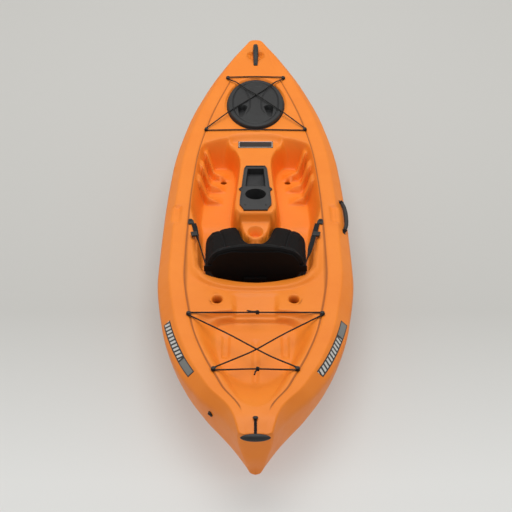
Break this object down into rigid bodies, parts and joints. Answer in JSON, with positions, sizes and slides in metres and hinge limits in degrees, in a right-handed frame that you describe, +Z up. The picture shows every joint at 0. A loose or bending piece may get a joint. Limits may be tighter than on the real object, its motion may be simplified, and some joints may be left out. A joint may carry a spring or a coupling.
{
  "type": "recreational kayak",
  "caption": "Sit-on-top recreational kayak with a padded seat, lashed bow hatch, console tray, rear tankwell, rod holders and carrying handles.",
  "frame": {"origin": "on the floor under the middle of the kayak's box", "axes": "+Y to the bow, +X to starboard, +Z up"},
  "size_m": [0.7824, 3.05, 0.3967],
  "materials": {
    "hull": "satin rotomoulded polyethylene",
    "black_plastic": "satin moulded nylon",
    "grey_plastic": "fine textured",
    "rubber": "matt moulded rubber",
    "cloth": "woven polyester over foam",
    "webbing": "flat woven webbing",
    "cord": "braided sheath over elastic",
    "steel": "stainless",
    "foam": "closed-cell foam"
  },
  "bodies": {
    "hull": {"hull": "hull", "hatch_rim": "black_plastic", "hatch_rim_screw_1": "steel", "hatch_rim_screw_2": "steel", "hatch_rim_screw_3": "steel", "hatch_rim_screw_4": "steel", "hatch_rim_screw_5": "steel", "hatch_rim_screw_6": "steel", "hatch_gasket": "rubber", "bow_handle": "rubber", "bow_handle_screw_1": "steel", "bow_handle_screw_2": "steel", "side_handle_tab_1": "black_plastic", "side_handle_tab_2": "black_plastic", "side_handle_screw_1": "steel", "side_handle_screw_2": "steel", "stern_toggle_button": "black_plastic", "bow_deck_button_1": "black_plastic", "bow_deck_button_2": "black_plastic", "bow_deck_button_3": "black_plastic", "bow_deck_button_4": "black_plastic", "stern_deck_button_1": "black_plastic", "stern_deck_button_2": "black_plastic", "stern_deck_button_3": "black_plastic", "stern_deck_button_4": "black_plastic", "bow_bungee": "cord", "stern_bungee": "cord", "stern_bungee_knot_1": "cord", "stern_bungee_knot_2": "cord", "console_tray": "grey_plastic", "console_screw_1": "steel", "console_screw_2": "steel", "console_plate": "black_plastic", "seat_pad": "cloth", "strap_anchor_starboard": "black_plastic", "strap_anchor_port": "black_plastic", "strap_clip_starboard": "black_plastic", "strap_clip_port": "black_plastic", "seat_strap_starboard": "webbing", "seat_strap_port": "webbing", "strap_buckle_starboard": "black_plastic", "strap_buckle_port": "black_plastic", "drain_plug_seal": "rubber", "stern_foam": "foam", "bow_foam": "foam"},
    "hatch_lid": {"hatch_lid": "rubber"},
    "backrest": {"backrest_pad": "cloth", "backrest_shell": "black_plastic", "backrest_pouch": "cloth"},
    "side_handle": {"side_handle_grip": "rubber"},
    "stern_toggle": {"stern_toggle_grip": "rubber", "stern_toggle_strap": "webbing"},
    "drain_plug": {"drain_plug": "black_plastic"}
  },
  "joints": [
    {"name": "hatch_lid_lift", "type": "slide", "parent": "hull", "child": "hatch_lid", "axis": [0, -0.0549, 0.9985], "range_m": [0, 0.06], "deforming": ["bow_bungee"]},
    {"name": "backrest_fold", "type": "hinge", "parent": "hull", "child": "backrest", "pos_m": [0, -0.3895, 0.169], "axis": [-1, 0, 0], "range_deg": [0, 74], "deforming": ["seat_strap_starboard", "seat_strap_port"]},
    {"name": "side_handle_swing", "type": "hinge", "parent": "hull", "child": "side_handle", "pos_m": [0.3681, 0.0201, 0.2335], "axis": [0.0174, -0.9998, -0.0041], "range_deg": [0, 90]},
    {"name": "stern_toggle_lift", "type": "hinge", "parent": "hull", "child": "stern_toggle", "pos_m": [0, -1.449, 0.3046], "axis": [-1, 0, 0], "range_deg": [0, 100], "deforming": ["stern_toggle_strap"]},
    {"name": "drain_plug_turn", "type": "hinge", "parent": "hull", "child": "drain_plug", "pos_m": [-0.1539, -1.2989, 0.2198], "axis": [-0.7795, -0.5739, -0.2511], "range_deg": [0, 540]}
  ]
}
